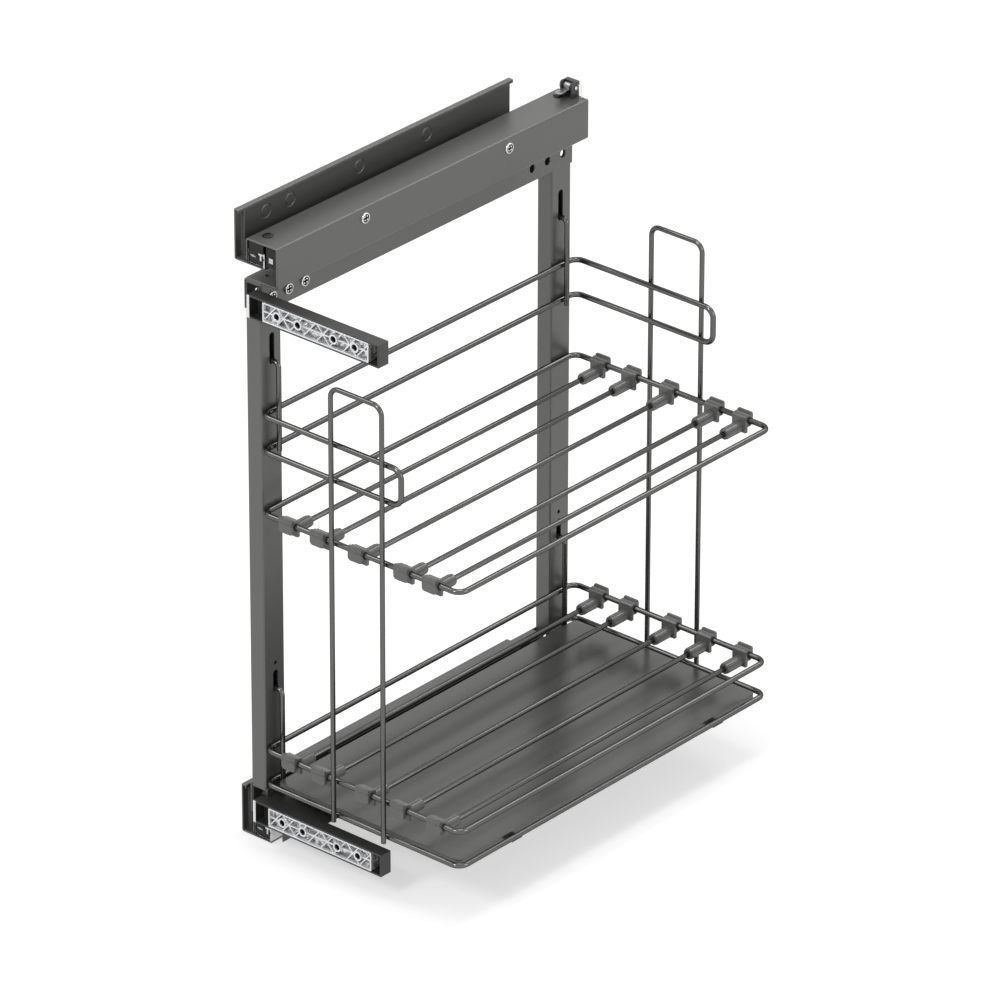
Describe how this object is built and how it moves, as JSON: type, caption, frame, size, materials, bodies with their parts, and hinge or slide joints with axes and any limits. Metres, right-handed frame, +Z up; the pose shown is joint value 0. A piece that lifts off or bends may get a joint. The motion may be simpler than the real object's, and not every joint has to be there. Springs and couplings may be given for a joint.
{
  "type": "pull-out baking tray rack",
  "caption": "Narrow pull-out rack on wall-side ball slides, with a side frame, hook-in wire basket, adjustable divider rods, base tray, door brackets and a rear latch.",
  "frame": {"origin": "Middle of the upper wall profile's screw row, on the plane of the cabinet side that the profile stands against.", "axes": "+X away from the cabinet wall, across the cabinet. -Y the way the rack pulls out, towards the door. +Z up."},
  "size_m": [0.2517, 0.4171, 0.587],
  "materials": {
    "anthracite": "satin powder coat",
    "wire": "satin powder coat",
    "clip": "satin",
    "black_steel": "satin powder coat",
    "black_plastic": "satin",
    "cage": "satin",
    "zinc": "bright zinc plated",
    "screw": "nickel plated",
    "latch": "plated",
    "cast": "die-cast, as cast"
  },
  "bodies": {
    "wall_side": {"wall_profile_upper": "anthracite", "wall_profile_lower": "anthracite", "outer_rail_upper": "zinc", "outer_rail_lower": "zinc"},
    "mid_rail_upper_body": {"mid_rail_upper": "zinc"},
    "cage_a_upper_body": {"ball_cage_a_upper": "cage"},
    "cage_b_upper_body": {"ball_cage_b_upper": "cage"},
    "mid_rail_lower_body": {"mid_rail_lower": "zinc"},
    "cage_a_lower_body": {"ball_cage_a_lower": "cage"},
    "cage_b_lower_body": {"ball_cage_b_lower": "cage"},
    "carriage": {"inner_rail_upper": "zinc", "inner_rail_lower": "zinc", "beam_upper": "anthracite", "beam_lower": "anthracite", "crossbar_upper": "anthracite", "crossbar_lower": "anthracite", "upright_front": "anthracite", "upright_rear": "anthracite", "front_caps": "black_plastic", "dome_screws": "black_steel", "pan_screws": "screw", "door_bracket_upper": "black_steel", "door_bracket_lower": "black_steel", "door_insert_upper": "cast", "door_insert_lower": "cast", "soft_close_housing": "black_plastic", "soft_close_damper": "screw", "gallery": "wire", "divider_frame_upper": "wire", "divider_frame_lower": "wire", "tray_rim": "wire", "loop_front": "wire", "loop_rear": "wire", "hook_wires": "wire", "tray_sheet": "anthracite", "latch_bracket": "anthracite", "latch_pin": "screw", "latch_spring": "screw"},
    "divider_upper_1": {"rod_upper_1": "wire", "clips_upper_1": "clip"},
    "divider_upper_2": {"rod_upper_2": "wire", "clips_upper_2": "clip"},
    "divider_upper_3": {"rod_upper_3": "wire", "clips_upper_3": "clip"},
    "divider_upper_4": {"rod_upper_4": "wire", "clips_upper_4": "clip"},
    "divider_upper_5": {"rod_upper_5": "wire", "clips_upper_5": "clip"},
    "divider_lower_1": {"rod_lower_1": "wire", "clips_lower_1": "clip"},
    "divider_lower_2": {"rod_lower_2": "wire", "clips_lower_2": "clip"},
    "divider_lower_3": {"rod_lower_3": "wire", "clips_lower_3": "clip"},
    "divider_lower_4": {"rod_lower_4": "wire", "clips_lower_4": "clip"},
    "divider_lower_5": {"rod_lower_5": "wire", "clips_lower_5": "clip"},
    "latch_lever_body": {"latch_lever": "latch"}
  },
  "joints": [
    {"name": "pull_out", "type": "slide", "parent": "wall_side", "child": "carriage", "axis": [0, -1, 0], "range_m": [0, 0.39]},
    {"name": "mid_rail_upper_slide", "type": "slide", "parent": "wall_side", "child": "mid_rail_upper_body", "axis": [0, -1, 0], "range_m": [0, 0.195]},
    {"name": "cage_a_upper_slide", "type": "slide", "parent": "wall_side", "child": "cage_a_upper_body", "axis": [0, -1, 0], "range_m": [0, 0.0975]},
    {"name": "cage_b_upper_slide", "type": "slide", "parent": "wall_side", "child": "cage_b_upper_body", "axis": [0, -1, 0], "range_m": [0, 0.2925]},
    {"name": "mid_rail_lower_slide", "type": "slide", "parent": "wall_side", "child": "mid_rail_lower_body", "axis": [0, -1, 0], "range_m": [0, 0.195]},
    {"name": "cage_a_lower_slide", "type": "slide", "parent": "wall_side", "child": "cage_a_lower_body", "axis": [0, -1, 0], "range_m": [0, 0.0975]},
    {"name": "cage_b_lower_slide", "type": "slide", "parent": "wall_side", "child": "cage_b_lower_body", "axis": [0, -1, 0], "range_m": [0, 0.2925]},
    {"name": "divider_upper_1_slide", "type": "slide", "parent": "carriage", "child": "divider_upper_1", "axis": [1, 0, 0], "range_m": [-0.012, 0.0095]},
    {"name": "divider_upper_2_slide", "type": "slide", "parent": "carriage", "child": "divider_upper_2", "axis": [1, 0, 0], "range_m": [-0.0095, 0.0065]},
    {"name": "divider_upper_3_slide", "type": "slide", "parent": "carriage", "child": "divider_upper_3", "axis": [1, 0, 0], "range_m": [-0.015, 0.02]},
    {"name": "divider_upper_4_slide", "type": "slide", "parent": "carriage", "child": "divider_upper_4", "axis": [1, 0, 0], "range_m": [-0.0095, 0.0075]},
    {"name": "divider_upper_5_slide", "type": "slide", "parent": "carriage", "child": "divider_upper_5", "axis": [1, 0, 0], "range_m": [-0.0075, 0.013]},
    {"name": "divider_lower_1_slide", "type": "slide", "parent": "carriage", "child": "divider_lower_1", "axis": [1, 0, 0], "range_m": [-0.012, 0.009]},
    {"name": "divider_lower_2_slide", "type": "slide", "parent": "carriage", "child": "divider_lower_2", "axis": [1, 0, 0], "range_m": [-0.009, 0.007]},
    {"name": "divider_lower_3_slide", "type": "slide", "parent": "carriage", "child": "divider_lower_3", "axis": [1, 0, 0], "range_m": [-0.021, 0.014]},
    {"name": "divider_lower_4_slide", "type": "slide", "parent": "carriage", "child": "divider_lower_4", "axis": [1, 0, 0], "range_m": [-0.0045, 0.0125]},
    {"name": "divider_lower_5_slide", "type": "slide", "parent": "carriage", "child": "divider_lower_5", "axis": [1, 0, 0], "range_m": [-0.0125, 0.0085]},
    {"name": "latch_pivot", "type": "hinge", "parent": "carriage", "child": "latch_lever_body", "pos_m": [0.0296, 0.2255, 0.023], "axis": [1, 0, 0], "range_deg": [-12, 0], "stiffness_Nm_per_rad": 0.02, "springref_deg": 8.59}
  ],
  "couplings": [
    {"joint": "mid_rail_upper_slide", "follows": "pull_out", "ratio": 0.5},
    {"joint": "cage_a_upper_slide", "follows": "pull_out", "ratio": 0.25},
    {"joint": "cage_b_upper_slide", "follows": "pull_out", "ratio": 0.75},
    {"joint": "mid_rail_lower_slide", "follows": "pull_out", "ratio": 0.5},
    {"joint": "cage_a_lower_slide", "follows": "pull_out", "ratio": 0.25},
    {"joint": "cage_b_lower_slide", "follows": "pull_out", "ratio": 0.75}
  ]
}
